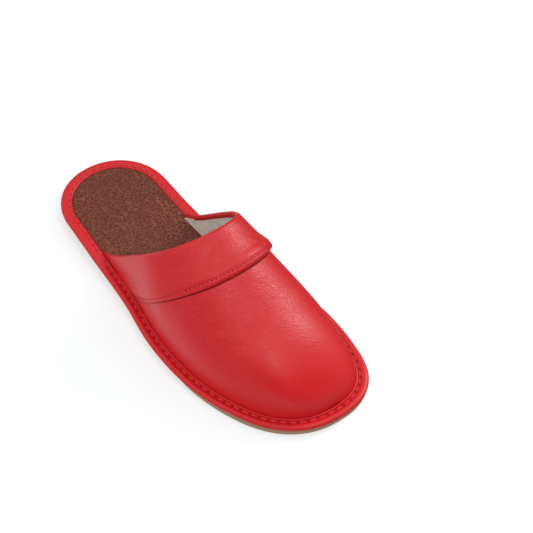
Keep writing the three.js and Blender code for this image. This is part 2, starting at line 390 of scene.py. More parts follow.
def ramp(tree, value, *stops):
    """Colour for a value, from (place, colour) stops."""
    item = add(tree, "ValToRGB", {"Fac": value})
    elements = item.color_ramp.elements
    while len(elements) < len(stops):
        elements.new(0.5)
    for element, (place, colour) in zip(elements, stops):
        element.position = place
        element.color = (*colour, 1)
    return item.outputs[0]


def blended(tree, share, a, b):
    """Goes from colour `a` to colour `b` as the share goes from 0 to 1."""
    item = add(tree, "Mix", {"Factor": share}, data_type="RGBA")
    a, b = (value if isinstance(value, bpy.types.NodeSocket) else (*value, 1) for value in (a, b))
    fill(tree, item, {6: a, 7: b})
    return item.outputs[2]


def mapped(tree, place, scale=(1, 1, 1), turn=0.0):
    """Turns a place by degrees about z, then scales it."""
    inputs = {"Vector": place, "Rotation": (0, 0, math.radians(turn))}
    rotated = add(tree, "Mapping", inputs).outputs[0]
    return add(tree, "Mapping", {"Vector": rotated, "Scale": scale}).outputs[0]


def drifted(tree, place, scale, amount):
    """Moves a place a little by a soft noise, so that a pattern wanders."""
    field = add(tree, "TexNoise", {"Vector": place, "Scale": scale, "Detail": 2.0}).outputs["Color"]
    centred = add(tree, "VectorMath", {0: field, 1: (0.5, 0.5, 0.5)}, operation="SUBTRACT").outputs[0]
    moved = add(tree, "VectorMath", {0: centred, "Scale": amount}, operation="SCALE").outputs[0]
    return add(tree, "VectorMath", {0: place, 1: moved}, operation="ADD").outputs[0]


def noise_of(tree, place, scale, detail=2.0, roughness=0.5):
    inputs = {"Vector": place, "Scale": scale, "Detail": detail, "Roughness": roughness}
    return add(tree, "TexNoise", inputs).outputs[0]


def cells_of(tree, place, scale):
    """Distance to the nearest edge of a net of cells."""
    inputs = {"Vector": place, "Scale": scale}
    return add(tree, "TexVoronoi", inputs, feature="DISTANCE_TO_EDGE").outputs["Distance"]


def bumped(tree, height, distance, normal=None, strength=1.0):
    inputs = {"Height": height, "Distance": distance, "Strength": strength}
    if normal is not None:
        inputs["Normal"] = normal
    return add(tree, "Bump", inputs).outputs[0]


RED = (0.640, 0.0095, 0.0145)
# Painted shade colour for the valleys between the leather's pebbles.
RED_VALLEY_SHADE = (0.400, 0.0040, 0.0070)
RED_LIGHT = (0.700, 0.0125, 0.0180)
# Dark painted shade colour, under the cuff's edge and in the cuff's needle holes.
DARK_SHADE_RED = (0.085, 0.0016, 0.0025)
# Painted shade colour for the strip's needle holes.
STRIP_HOLE_SHADE_RED = (0.380, 0.0030, 0.0060)


def red_leather(name, place_from="Object", turn=0.0, flow=(0.45, 1.0, 0.45), wrinkles=1.0, seam=None):
    """Soft red leather: fine pebbles, wrinkles that run one way where it is worked, satin gloss.

    seam(tree) gives where shade is painted on the leather, how high it stands there, and the colour of
    that painted shade.
    """
    material, tree, shader = new_material(name)
    place = place_on(tree, place_from)
    body = place_on(tree)
    worked = add(tree, "Attribute", attribute_name="worked").outputs["Fac"]

    wandering = drifted(tree, mapped(tree, place, turn=turn), 70, 0.0035)
    lengthened = mapped(tree, wandering, scale=flow)
    folds = noise_of(tree, lengthened, 700, 1.5, 0.5)
    long_folds = noise_of(tree, lengthened, 230, 1.0)
    cells = cells_of(tree, drifted(tree, lengthened, 500, 0.0012), 680)
    pebbles = ranged(tree, cells, 0.0, 0.40)
    pores = noise_of(tree, body, 2600, 2.0, 0.6)
    waves = noise_of(tree, body, 42, 1.0)
    patches = ranged(tree, noise_of(tree, body, 26, 2.0), 0.38, 0.62)
    amount = math_node(tree, "MULTIPLY", worked, ranged(tree, patches, 0, 1, 0.75, 1.0))
    pebble_amount = ranged(tree, amount, 0, 1, 0.30, 1.0)

    normal = bumped(tree, waves, 0.00035)
    layers = ((long_folds, amount, 0.00020), (folds, amount, 0.00017), (pebbles, pebble_amount, 0.000062))
    for pattern, share, distance in layers:
        height = math_node(tree, "MULTIPLY", pattern, share)
        normal = bumped(tree, height, distance * wrinkles, normal)
    normal = bumped(tree, pores, 0.000014, normal)

    colour = blended(tree, math_node(tree, "MULTIPLY", patches, 0.30), RED, RED_LIGHT)
    # Painted shade in the valleys between the pebbles, stronger where the leather is worked.
    valley = math_node(tree, "MULTIPLY", math_node(tree, "SUBTRACT", 1.0, pebbles), pebble_amount)
    colour = blended(tree, math_node(tree, "MULTIPLY", valley, 0.36), colour, RED_VALLEY_SHADE)
    dull = 0.0
    # Painted shade: in the needle holes of cuff and strip, and in the crevice under the cuff's edge on
    # the vamp.
    if seam:
        shade, dent, dark = seam(tree)
        dull = math_node(tree, "MULTIPLY", shade, 0.4)
        colour = blended(tree, shade, colour, dark)
        normal = bumped(tree, dent, 0.0004, normal)

    gloss = ranged(tree, folds, 0.3, 0.7, 0.40, 0.34)
    gloss = math_node(tree, "ADD", gloss, math_node(tree, "MULTIPLY", valley, 0.08))
    fill(tree, shader, {
        "Base Color": colour,
        "Normal": normal,
        "Roughness": math_node(tree, "ADD", gloss, dull),
        "Specular IOR Level": 0.45,
    })
    return material


def needle_hole_shade(pitch, line, size, dark, share=0.8):
    """Painted shade in needle holes: dark dashes at an even pitch along U, on one line across V, in
    metres of the UV map.
    """
    def build(tree):
        uv = add(tree, "SeparateXYZ", {0: place_on(tree, "UV")})
        from_hole = math_node(tree, "PINGPONG", uv.outputs[0], pitch / 2)
        along_seam = math_node(tree, "MULTIPLY", from_hole, 0.6)
        across = math_node(tree, "SUBTRACT", uv.outputs[1], line)
        squares = [math_node(tree, "POWER", way, 2.0) for way in (along_seam, across)]
        spread = math_node(tree, "SQRT", math_node(tree, "ADD", *squares))
        dash = ranged(tree, spread, size * 0.4, size, share, 0.0)
        return dash, math_node(tree, "SUBTRACT", 1.0, dash), dark
    return build


def painted_shade_under_cuff(width):
    """Painted shade in the crevice where the leather goes in under the cuff, at V = 0 of the UV map."""
    def build(tree):
        uv = add(tree, "SeparateXYZ", {0: place_on(tree, "UV")})
        shade = ranged(tree, uv.outputs[1], -0.0001, width, 0.8, 0.0)
        return shade, math_node(tree, "SUBTRACT", 1.0, shade), DARK_SHADE_RED
    return build


def footbed_leather():
    """Brown grained leather: a net of crests over dark cells, drawn out lengthwise, with a painted
    highlight on the crests.
    """
    material, tree, shader = new_material("Brown footbed leather")
    body = place_on(tree)
    wandering = drifted(tree, mapped(tree, body, turn=-14), 60, 0.0030)
    lengthened = mapped(tree, wandering, scale=(1.0, 0.50, 1.0))
    cells = cells_of(tree, drifted(tree, lengthened, 800, 0.0013), 560)
    crests = ranged(tree, cells, 0.0, 0.165, 1.0, 0.0)
    folds = noise_of(tree, lengthened, 300, 3.0, 0.6)
    small = noise_of(tree, body, 1700, 2.0, 0.6)
    patches = ranged(tree, noise_of(tree, body, 34, 3.0), 0.36, 0.64)

    normal = bumped(tree, noise_of(tree, body, 60, 1.0), 0.0006, strength=0.5)
    normal = bumped(tree, folds, 0.00028, normal)
    normal = bumped(tree, crests, 0.00010, normal)
    normal = bumped(tree, small, 0.00005, normal)

    # Painted highlight on the crests of the grain, with the cells left darker.
    painted_crest_highlight = math_node(tree, "MULTIPLY", crests, ranged(tree, folds, 0.34, 0.62, 0.70, 1.0))
    colour = ramp(
        tree, painted_crest_highlight,
        (0.0, (0.110, 0.0210, 0.0084)),
        (0.45, (0.170, 0.0420, 0.0212)),
        (1.0, (0.268, 0.0930, 0.0560)))
    worn = math_node(tree, "MULTIPLY", patches, 0.30)
    colour = blended(tree, worn, colour, (0.110, 0.030, 0.015))
    fill(tree, shader, {
        "Base Color": colour,
        "Normal": normal,
        "Roughness": ranged(tree, crests, 0, 1, 0.60, 0.50),
        "Specular IOR Level": 0.28,
    })
    return material


def felt():
    """Matt off-white felt with tufts, fibres and a faint mottle."""
    material, tree, shader = new_material("Off-white felt lining")
    body = place_on(tree)
    fibres = noise_of(tree, drifted(tree, body, 900, 0.0012), 1500, 4.0, 0.7)
    tufts = noise_of(tree, body, 260, 3.0, 0.6)
    normal = bumped(tree, tufts, 0.0005)
    normal = bumped(tree, fibres, 0.0003, normal)
    colour = ramp(
        tree, fibres,
        (0.2, (0.70, 0.64, 0.555)),
        (0.55, (0.89, 0.83, 0.735)),
        (0.85, (0.96, 0.92, 0.84)))
    clouds = noise_of(tree, mapped(tree, body, scale=(0.5, 1, 2)), 170, 3.0)
    mottle = ranged(tree, clouds, 0.35, 0.7, 0.0, 0.6)
    colour = blended(tree, mottle, colour, (0.58, 0.515, 0.425))
    fill(tree, shader, {
        "Base Color": colour,
        "Normal": normal,
        "Roughness": 0.95,
        "Specular IOR Level": 0.1,
        "Sheen Weight": 0.35,
        "Sheen Roughness": 0.6,
    })
    return material


def tan_rubber():
    """Tan foam rubber: crumb, lines drawn along its side by the cutting, darker at the floor."""
    material, tree, shader = new_material("Tan rubber sole")
    body = place_on(tree)
    height = add(tree, "SeparateXYZ", {0: body}).outputs[2]
    crumb = noise_of(tree, body, 1400, 3.0, 0.65)
    drawn = noise_of(tree, mapped(tree, body, scale=(1, 1, 9)), 240, 3.0, 0.6)
    patches = noise_of(tree, body, 45, 3.0)
    normal = bumped(tree, drawn, 0.00018)
    normal = bumped(tree, crumb, 0.00008, normal)
    colour = ramp(tree, drawn, (0.25, (0.300, 0.176, 0.104)), (0.75, (0.435, 0.284, 0.176)))
    colour = blended(tree, math_node(tree, "MULTIPLY", patches, 0.30), colour, (0.31, 0.185, 0.110))
    # Darker over the lowest millimetre of the side.
    darker_near_floor = ranged(tree, height, 0.0, 0.0010, 0.30, 0.0)
    colour = blended(tree, darker_near_floor, colour, (0.14, 0.09, 0.06))
    fill(tree, shader, {
        "Base Color": colour,
        "Normal": normal,
        "Roughness": ranged(tree, crumb, 0.3, 0.7, 0.70, 0.56),
        "Specular IOR Level": 0.3,
    })
    return material


def red_thread():
    """Glossy red thread with its plies twisted round it."""
    material, tree, shader = new_material("Red sewing thread")
    uv = add(tree, "SeparateXYZ", {0: place_on(tree, "UV")})
    turns = math_node(tree, "MULTIPLY", uv.outputs[0], 5.0)
    plies = math_node(tree, "PINGPONG", math_node(tree, "ADD", turns, uv.outputs[1]), 0.5)
    # Painted shade between the plies and painted highlight on their crests.
    ply_highlight = math_node(tree, "MULTIPLY", plies, 2.0)
    colour = blended(tree, ply_highlight, (0.56, 0.014, 0.020), (0.82, 0.060, 0.066))
    fill(tree, shader, {
        "Base Color": colour,
        "Normal": bumped(tree, plies, 0.00008),
        "Roughness": 0.5,
        "Specular IOR Level": 0.3,
    })
    return material


# Upper

VAMP_LEATHER = 0.5
VAMP_GRID = (150, 170)
VAMP_LEFT_TO_RIGHT = 0.14
# The felt lies close under the leather at the collar and deeper ahead of it.
LINING_DEPTHS = (0.58, 1.45)
LINING_THICKNESS = 0.7
LINING_GRID = (90, 90)
# Folds of the felt along the instep, in degrees over the arch from the outer side.
LINING_FOLDS = [
    {"at": 160, "deep": 1.1, "wide": 9},
    {"at": 146, "deep": 0.7, "wide": 8},
    {"at": 24, "deep": 0.8, "wide": 10},
]
# Shares of the grid that lie behind the cuff's edge and below the strip's lip, and how much its
# columns crowd towards the feet of the arch and its rows towards the cuff's edge.
REAR_ROWS = 0.16
FOOT_ROWS = 0.03
COLUMN_CROWDING = 0.38
ROW_CROWDING = 1.7
# The upper's foot reaches this far past the strip's lip.
FOOT_PAST_LIP = 0.34

# Creases of the upper: y at their middle, how far their ends bend forwards, where they
# start and end across the arch in degrees from the outer side, their depth and half width.
VAMP_CREASES = [
    {"y": 192.0, "bend": -9.0, "from": 48, "to": 104, "deep": 0.34, "wide": 3.4},
    {"y": 199.5, "bend": -8.0, "from": 40, "to": 96, "deep": 0.30, "wide": 3.0},
    {"y": 206.0, "bend": -7.0, "from": 52, "to": 110, "deep": 0.32, "wide": 3.2},
    {"y": 213.5, "bend": -6.0, "from": 44, "to": 92, "deep": 0.24, "wide": 3.2},
    {"y": 221.0, "bend": -5.0, "from": 58, "to": 108, "deep": 0.18, "wide": 3.0},
    {"y": 196.0, "bend": -6.0, "from": 108, "to": 142, "deep": 0.10, "wide": 3.2},
    {"y": 210.0, "bend": -6.0, "from": 112, "to": 146, "deep": 0.09, "wide": 3.4},
]
CUFF_CREASES = [
    {"y": 161.0, "bend": -14.0, "from": 38, "to": 100, "deep": 0.22, "wide": 2.6},
    {"y": 166.5, "bend": -15.0, "from": 44, "to": 112, "deep": 0.26, "wide": 2.6},
    {"y": 172.0, "bend": -15.0, "from": 40, "to": 96, "deep": 0.22, "wide": 2.6},
    {"y": 163.5, "bend": -9.0, "from": 100, "to": 148, "deep": 0.20, "wide": 2.8},
    {"y": 171.0, "bend": -9.0, "from": 104, "to": 150, "deep": 0.20, "wide": 2.6},
]


def crease(y, arch, rows):
    """How deep the creases press in at a place of the upper, in millimetres."""
    degrees = math.degrees(arch)
    deep = 0.0
    for row in rows:
        reach = (row["to"] - row["from"]) / 2
        off = (degrees - row["from"]) / reach - 1
        if abs(off) >= 1:
            continue
        side = (y - row["y"] - row["bend"] * off ** 2) / row["wide"]
        if abs(side) < 3.5:
            trough = math.exp(-side ** 2) - 0.45 * math.exp(-(side - 1.6) ** 2)
            deep += row["deep"] * (1 - off ** 2) ** 2 * trough
    return deep


def arch_place(u, drop):
    """Angle over the arch for u 0..1, and how far the wall goes on below the strip's lip."""
    if u < FOOT_ROWS:
        return 0.0, drop * (1 - u / FOOT_ROWS)
    if u > 1 - FOOT_ROWS:
        return math.pi, drop * (1 - (1 - u) / FOOT_ROWS)
    share = (u - FOOT_ROWS) / (1 - 2 * FOOT_ROWS)
    return math.pi * share - COLUMN_CROWDING * math.sin(2 * math.pi * share), 0.0


def length_place(v, arch, ahead, depth):
    """y for v 0..1 from the collar past the cuff's edge to the toe, with closer rows there."""
    start = line_across(COLLAR, arch) + ahead * stretch(COLLAR, arch)
    front = line_across(CUFF_EDGE, arch)
    if v < REAR_ROWS:
        return mix(start, front, v / REAR_ROWS)
    if v >= 1:
        return toe_tip(depth)
    share = (v - REAR_ROWS) / (1 - REAR_ROWS)
    return toe_tip(depth) - (toe_tip(depth) - front) * (1 - share) ** ROW_CROWDING


def foot_reach(y, arch):
    """How far the upper's foot spreads out to meet the strip's lip, ahead of the cuff."""
    gap = mix(CUFF_INSET, VAMP_INSET, smooth(y, *INSET_CHANGE)) - VAMP_INSET + FOOT_PAST_LIP
    foot = 1 - smooth(math.sin(arch), 0.0, 0.15)
    ahead = y - line_across(CUFF_EDGE, arch)
    return gap * foot * smooth(ahead, -8, -2) * mix(0.62, 1.0, smooth(ahead, 0, 1.6))


def layers_from(arch, pinched=5.0):
    """How far ahead of the collar a layer starts, further down where the rim is pinched."""
    return 1.6 + pinched * (1 - smooth(math.sin(arch), 0.0, 0.08))


def build_vamp():
    """The vamp's leather, from under the cuff to the toe."""
    def at(u, v):
        arch, drop = arch_place(u, LIP_UP - 0.4)
        return length_place(v, arch, layers_from(arch), 0.0), arch, drop

    def point(u, v):
        y, arch, drop = at(u, v)
        if v >= 1:
            return last_point(y, arch, 0.0, drop)
        return last_point(y, arch, crease(y, arch, VAMP_CREASES) - foot_reach(y, arch), drop)

    def uv(u, v):
        """V is how far a place lies ahead of the cuff's edge, less so at its ends."""
        y, arch, _ = at(u, v)
        ahead = (y - line_across(CUFF_EDGE, arch)) / stretch(CUFF_EDGE, arch)
        return u * VAMP_LEFT_TO_RIGHT, ahead * mix(0.5, 1.0, smooth(math.sin(arch), 0.1, 0.5)) * MM

    def worked(u, v):
        y, arch, _ = at(u, v)
        degrees = math.degrees(arch)
        across = smooth(degrees, 12, 55) * (1 - 0.75 * smooth(degrees, 105, 150))
        return 0.10 + 0.90 * across * (1 - 0.80 * smooth(y, 200, 245))

    vamp = shaped_grid("vamp_leather", *VAMP_GRID, point, uv, worked)
    merge_doubles(vamp)
    thicken(vamp, VAMP_LEATHER)
    leather = red_leather("Red vamp leather", turn=24, seam=painted_shade_under_cuff(0.0006))
    vamp.data.materials.append(leather)
    dress(vamp, "upper_leather", "upper")


def build_lining():
    """The felt that lines the cuff and the vamp."""
    def point(u, v):
        arch, drop = arch_place(u, LIP_UP - 0.8)
        depth = mix(*LINING_DEPTHS, smooth(v, 0.02, REAR_ROWS))
        if v < 1:
            for fold in LINING_FOLDS:
                over = bump(math.degrees(arch), fold["at"], fold["wide"])
                depth += fold["deep"] * over * smooth(v, 0.01, 0.06)
        return last_point(length_place(v, arch, layers_from(arch, 1.0), depth), arch, depth, drop)

    lining = shaped_grid("felt_lining", *LINING_GRID, point)
    merge_doubles(lining)
    thicken(lining, LINING_THICKNESS)
    lining.data.materials.append(felt())
    dress(lining, "lining_felt")


# Cuff

# Its section runs from under the front edge over the face and round the collar's rim to the hem
# inside and back. A row gives the line that it hangs on, how many millimetres it lies ahead of that
# line, or on the face its share of the way from the collar to the front, and its depth in the last.
CUFF_SECTION = [
    ("edge", -7.5, -0.22),
    ("edge", -4.0, -0.22),
    ("edge", -1.7, -0.20),
    ("edge", -0.75, -0.24),
    ("edge", -0.15, -0.62),
    ("edge", 0.0, -1.15),
    ("edge", -0.25, -1.72),
    ("edge", -0.9, -2.14),
    ("edge", -1.6, -2.22),
    ("edge", -2.3, -2.04),
    ("edge", -3.0, -2.18),
    ("edge", -4.0, -2.56),
    ("edge", -5.6, -2.68),
    ("edge", -8.5, -2.46),
    ("edge", -12.0, -2.14),
    ("face", 0.47, -1.96),
    ("face", 0.30, -1.95),
    ("collar", 4.5, -1.95),
    ("collar", 2.4, -1.80),
    ("collar", 1.1, -1.42),
    ("collar", 0.3, -0.85),
    ("collar", 0.0, -0.15),
    ("collar", 0.15, 0.60),
    ("collar", 0.6, 1.25),
    ("collar", 1.2, 1.62),
    ("collar", 2.7, 1.72),
    ("collar", 3.1, 1.55),
    ("collar", 2.8, 1.38),
    ("collar", 1.45, 1.15),
    ("collar", 1.35, 0.40),
    ("collar", 1.5, -0.12),
    ("collar", 4.0, -0.22),
]
# How far the folded front edge stands out over the inner side of the instep, where that is in
# degrees over the arch, and how far back it goes.
CUFF_FLARE = {"out": 1.7, "middle": 128, "reach": 62, "back": 12.0}
CUFF_ACROSS = 260
CUFF_PER_ROW = 5
CUFF_DROP = 2.4
# The cuff's foot leans on the strip's lip.
CUFF_FOOT_OUT = 0.22
CUFF_STITCH = {"back": 2.3, "pitch": 2.7, "length": 1.9, "width": 0.42}


def cuff_y(line, ahead, arch):
    collar, front = line_across(COLLAR, arch), line_across(CUFF_EDGE, arch)
    if line == "edge":
        return front + ahead * stretch(CUFF_EDGE, arch)
    if line == "collar":
        return collar + ahead * stretch(COLLAR, arch)
    return mix(collar, front, ahead)


def cuff_edge_runs(count):
    """Length run along the cuff's front edge at `count` + 1 even places of u."""
    def edge(u):
        arch, drop = arch_place(u, CUFF_DROP)
        return last_point(line_across(CUFF_EDGE, arch), arch, -1.9, drop)

    runs = [0.0]
    for i in range(count):
        runs.append(runs[-1] + math.dist(edge(i / count), edge((i + 1) / count)))
    return runs


def cuff_flare(arch, behind):
    """How far the cuff stands out at a distance behind its front edge."""
    over = bump(math.degrees(arch), CUFF_FLARE["middle"], CUFF_FLARE["reach"])
    return CUFF_FLARE["out"] * over * (1 - smooth(behind, 0, CUFF_FLARE["back"]))


def build_cuff():
    around = len(CUFF_SECTION) * CUFF_PER_ROW
    runs = cuff_edge_runs(CUFF_ACROSS)
    sections = []
    for i in range(CUFF_ACROSS + 1):
        arch, _ = arch_place(i / CUFF_ACROSS, 0)
        rows = [(cuff_y(line, ahead, arch), depth) for line, ahead, depth in CUFF_SECTION]
        sections.append(smooth_loop(rows, CUFF_PER_ROW))

    def point(u, v):
        arch, drop = arch_place(u, CUFF_DROP)
        y, depth = sections[round(u * CUFF_ACROSS)][round(v * around) % around]
        if depth < -1:
            depth += crease(y, arch, CUFF_CREASES) * smooth(-depth, 1.6, 1.9)
        behind = (line_across(CUFF_EDGE, arch) - y) / stretch(CUFF_EDGE, arch)
        foot = CUFF_FOOT_OUT * (1 - smooth(math.sin(arch), 0.0, 0.10))
        depth -= (foot + cuff_flare(arch, behind)) * smooth(-depth, 0.2, 1.5)
        pinch = (1 - smooth(math.sin(arch), 0.0, 0.16)) * (1 - smooth(y, 84, 100))
        return last_point(y, arch, mix(depth, -0.9, 0.6 * pinch), drop)

    def uv(u, v):
        arch, _ = arch_place(u, 0)
        i = round(u * CUFF_ACROSS)
        y, _ = sections[i][min(round(v * around), around - 1)]
        return runs[i] * MM, (line_across(CUFF_EDGE, arch) - y) / stretch(CUFF_EDGE, arch) * MM

    def worked(u, v):
        degrees = math.degrees(arch_place(u, 0)[0])
        return 0.12 + 0.88 * smooth(degrees, 22, 62) * (1 - 0.45 * smooth(degrees, 140, 175))

    cuff = shaped_grid("cuff_leather", CUFF_ACROSS, around, point, uv, worked)
    merge_doubles(cuff)
    close_ends(cuff)
    holes = needle_hole_shade(CUFF_STITCH["pitch"] * MM, CUFF_STITCH["back"] * MM, 0.00045, DARK_SHADE_RED)
    leather = red_leather("Red cuff leather", "UV", flow=(0.45, 1.0, 1.0), seam=holes)
    cuff.data.materials.append(leather)
    dress(cuff, "cuff_leather", "cuff")


# Edge strip

# Its section runs from the lower outer corner over the roll, the stitched groove and the lip to the
# lower inner corner: distance in from the outline and height over the sole, round the heel and
# beside the vamp. It turns from one to the other over STRIP_TURN.
STRIP = [
    {"heel": (1.6, 0.3), "vamp": (1.6, 0.3)},
    {"heel": (0.5, 0.6), "vamp": (0.5, 0.6)},
    {"heel": (0.0, 1.5), "vamp": (0.0, 1.5)},
    {"heel": (0.1, 2.5), "vamp": (0.15, 2.6)},
    {"heel": (0.8, 3.35), "vamp": (0.9, 3.45)},
    {"heel": (2.0, 3.8), "vamp": (2.1, 3.8)},
    {"heel": (3.4, 3.85), "vamp": (3.3, 3.6)},
    {"heel": (4.6, 3.75), "vamp": (4.2, 3.25)},
    {"heel": (5.6, 3.6), "vamp": (4.9, 3.05)},
    {"heel": (6.4, 3.6), "vamp": (5.45, 3.4)},
    {"heel": (7.1, 3.45), "vamp": (5.75, 3.95)},
    {"heel": (7.6, 3.2), "vamp": (6.25, 4.4)},
    {"heel": (7.9, 2.8), "vamp": (6.8, 4.3)},
    {"heel": (7.9, 1.4), "vamp": (7.05, 3.6)},
    {"heel": (7.6, 0.3), "vamp": (7.0, 0.3)},
]
STRIP_TURN = (78.0, 96.0)
STRIP_AROUND = 1000
STRIP_PER_ROW = 3
STRIP_STITCH = {"pitch": 5.8, "length": 3.9, "width": 1.05}
SEAM_IN = {"heel": 6.1, "vamp": 4.85}
# Dents at the needle holes, puffs of the leather between them, and where those puffs are.
STRIP_DENT = {"heel": 0.08, "vamp": 0.30}
STRIP_PUFF = {"heel": 0.05, "vamp": 0.12}
PUFF_IN = {"heel": 3.9, "vamp": 3.2}
# Height that the thread starts from.
THREAD_UP = {"heel": 3.60, "vamp": 3.07}
# The strip's ends lap on the inner side: y on the strip's middle, how much further back that is for
# each millimetre inwards, and how far the end on top stands up and the other one lies down.
LAP_Y = 152.0
LAP_SLANT = 2.1
LAP_MIDDLE_IN = 4.6
LAP_UP = 0.40
LAP_DOWN = 0.25


def trip_y(trip):
    return LENGTH * (1 - math.cos(math.pi * way_to_toe(trip))) / 2


def even_trips(count, inset):
    """Places of the round trip at even distances on the outline set in by `inset`."""
    fine = 4000
    trips = [2 * i / fine for i in range(fine + 1)]
    points = [edge_point(trip, inset) for trip in trips]
    runs = [0.0]
    for a, b in zip(points, points[1:]):
        runs.append(runs[-1] + math.dist(a, b))
    out, k = [], 0
    for i in range(count):
        want = runs[-1] * i / count
        while runs[k + 1] < want:
            k += 1
        out.append(mix(trips[k], trips[k + 1], (want - runs[k]) / (runs[k + 1] - runs[k])))
    return out, runs[-1]


def turned(value, turn):
    """A value of the strip between the heel and the vamp."""
    return mix(value["heel"], value["vamp"], turn)


def strip_up(trip, inset, up, turn, phase):
    """Height of the strip's leather with its stitch dents, puffs and the lap of its ends."""
    hole = bump(min(phase, 1 - phase), 0.0, 0.16)
    up -= bump(inset, turned(SEAM_IN, turn), 1.2) * turned(STRIP_DENT, turn) * hole
    puff = math.sin(math.pi * phase) ** 2
    up += bump(inset, turned(PUFF_IN, turn), 2.2) * turned(STRIP_PUFF, turn) * (puff - 0.5)
    if trip > 1:
        behind = LAP_Y + LAP_SLANT * (LAP_MIDDLE_IN - inset) - trip_y(trip)
        on_top = smooth(behind, -0.5, 0.5) * (1 - smooth(behind, 6, 34))
        up += LAP_UP * on_top * smooth(up, 1.0, 2.6)
        under = smooth(-behind, -0.3, 0.5) * (1 - smooth(-behind, 1, 16))
        up -= LAP_DOWN * under * smooth(up, 1.0, 2.6)
    return up


def build_strip(trips, length, stitches):
    """The strip's leather, at even places round the slipper and with so many stitches."""
    around = len(STRIP) * STRIP_PER_ROW
    heel = smooth_loop([row["heel"] for row in STRIP], STRIP_PER_ROW)
    vamp = smooth_loop([row["vamp"] for row in STRIP], STRIP_PER_ROW)

    def point(u, v):
        i = round(u * STRIP_AROUND) % STRIP_AROUND
        j = round(v * around) % around
        trip = trips[i]
        turn = smooth(trip_y(trip), *STRIP_TURN)
        inset, up = mix(heel[j][0], vamp[j][0], turn), mix(heel[j][1], vamp[j][1], turn)
        up = strip_up(trip, inset, up, turn, i / STRIP_AROUND * stitches % 1.0)
        x, y = edge_point(trip, inset)
        return x, y, sole(y, "top") + up

    def uv(u, v):
        turn = smooth(trip_y(trips[round(u * STRIP_AROUND) % STRIP_AROUND]), *STRIP_TURN)
        j = round(v * around) % around
        inset = mix(heel[j][0], vamp[j][0], turn)
        return u * length * MM, (inset - turned(SEAM_IN, turn)) * MM

    strip = shaped_grid("edge_strip", STRIP_AROUND, around, point, uv, lambda u, v: 0.4)
    merge_doubles(strip)
    holes = needle_hole_shade(length / stitches * MM, 0.0, 0.0009, STRIP_HOLE_SHADE_RED, 0.75)
    leather = red_leather("Red strip leather", flow=(0.8, 0.8, 0.8), wrinkles=0.5, seam=holes)
    strip.data.materials.append(leather)
    dress(strip, "strip_leather", "binding")


def build_strip_stitches(trips, stitches):
    spots = []
    for k in range(stitches):
        middle = (k + 0.5) / stitches * STRIP_AROUND
        low, high = int(middle), int(middle) + 1
        trip = mix(trips[low % STRIP_AROUND], trips[high % STRIP_AROUND], middle - low)
        turn = smooth(trip_y(trip), *STRIP_TURN)
        inset = turned(SEAM_IN, turn)
        x, y = edge_point(trip, inset)
        ahead = edge_point(trip + 0.001, inset)
        behind = edge_point(trip - 0.001, inset) if trip > 0.001 else edge_point(0, inset)
        up = strip_up(trip, inset, turned(THREAD_UP, turn), turn, 0.5) + 0.20
        heading = Vector((ahead[0] - behind[0], ahead[1] - behind[1], 0)).normalized()
        slope = (sole(y + heading.y, "top") - sole(y - heading.y, "top")) / 2
        here = placed(x, y, sole(y, "top") + up)
        spots.append((here, Vector((*heading.xy, slope)), Vector((0, 0, 1))))
    build_stitches("strip_stitches", spots, STRIP_STITCH["length"], STRIP_STITCH["width"])


# Stitches

def build_stitches(name, spots, length, width):
    """One bent stitch is modelled, then copied to each (place, heading, up) and joined."""
    bpy.ops.mesh.primitive_uv_sphere_add(segments=10, ring_count=12, radius=0.5)
    pattern = bpy.context.object
    bpy.ops.transform.rotate(
        value=math.radians(90), orient_axis="Y", center_override=(0, 0, 0))
    bpy.ops.object.transform_apply(rotation=True, location=False, scale=False)
    # Full up to its ends, flattened a little, with both ends bent down into the needle holes.
    for vertex in pattern.data.vertices:
        x, y, z = vertex.co
        round_part = math.sqrt(max(1 - (2 * x) ** 2, 0)) or 1.0
        full = (1 - abs(2 * x) ** 5) ** 0.5
        vertex.co = (
            x * length * MM,
            y / round_part * full * width * MM,
            (z / round_part * full * 0.8 * width - 0.42 * width * (2 * abs(x)) ** 3) * MM,
        )
    copies = []
    for place, heading, up in spots:
        heading = heading.normalized()
        side = up.cross(heading).normalized()
        top = heading.cross(side)
        copy = pattern.copy()
        copy.data = pattern.data.copy()
        for vertex in copy.data.vertices:
            x, y, z = vertex.co
            vertex.co = place + heading * x + side * y + top * z
        bpy.context.collection.objects.link(copy)
        copies.append(copy)
    bpy.data.objects.remove(pattern)
    bpy.ops.object.select_all(action="DESELECT")
    for copy in copies:
        copy.select_set(True)
    bpy.context.view_layer.objects.active = copies[0]
    bpy.ops.object.join()
    stitches = bpy.context.object
    stitches.name = stitches.data.name = name
    stitches.location = (0, 0, 0)
    stitches.rotation_euler = (0, 0, 0)
    merge_doubles(stitches, 0.000001)
    stitches.data.materials.append(THREAD)
    dress(stitches, "seam_thread")


THREAD_DEPTH = -2.10


def build_cuff_stitches():
    """The seam behind the cuff's front edge, which stops short of the strip at both ends."""
    fine = 600
    runs = cuff_edge_runs(fine)
    back, pitch = CUFF_STITCH["back"], CUFF_STITCH["pitch"]

    def seam_point(u, lift=0.0):
        arch, drop = arch_place(u, CUFF_DROP)
        y = line_across(CUFF_EDGE, arch) - back * stretch(CUFF_EDGE, arch)
        depth = THREAD_DEPTH - cuff_flare(arch, back)
        return placed(*last_point(y, arch, depth - lift, drop))

    spots, k = [], 0
    count = int((runs[-1] - 8) / pitch)
    for n in range(2, count):
        want = (n + 0.5) * pitch
        while runs[k + 1] < want:
            k += 1
        u = (k + (want - runs[k]) / (runs[k + 1] - runs[k])) / fine
        here = seam_point(u)
        heading = seam_point(u + 0.002) - seam_point(u - 0.002)
        spots.append((here, heading, seam_point(u, 1.0) - here))
    build_stitches("cuff_stitches", spots, CUFF_STITCH["length"], CUFF_STITCH["width"])


# Footbed and sole

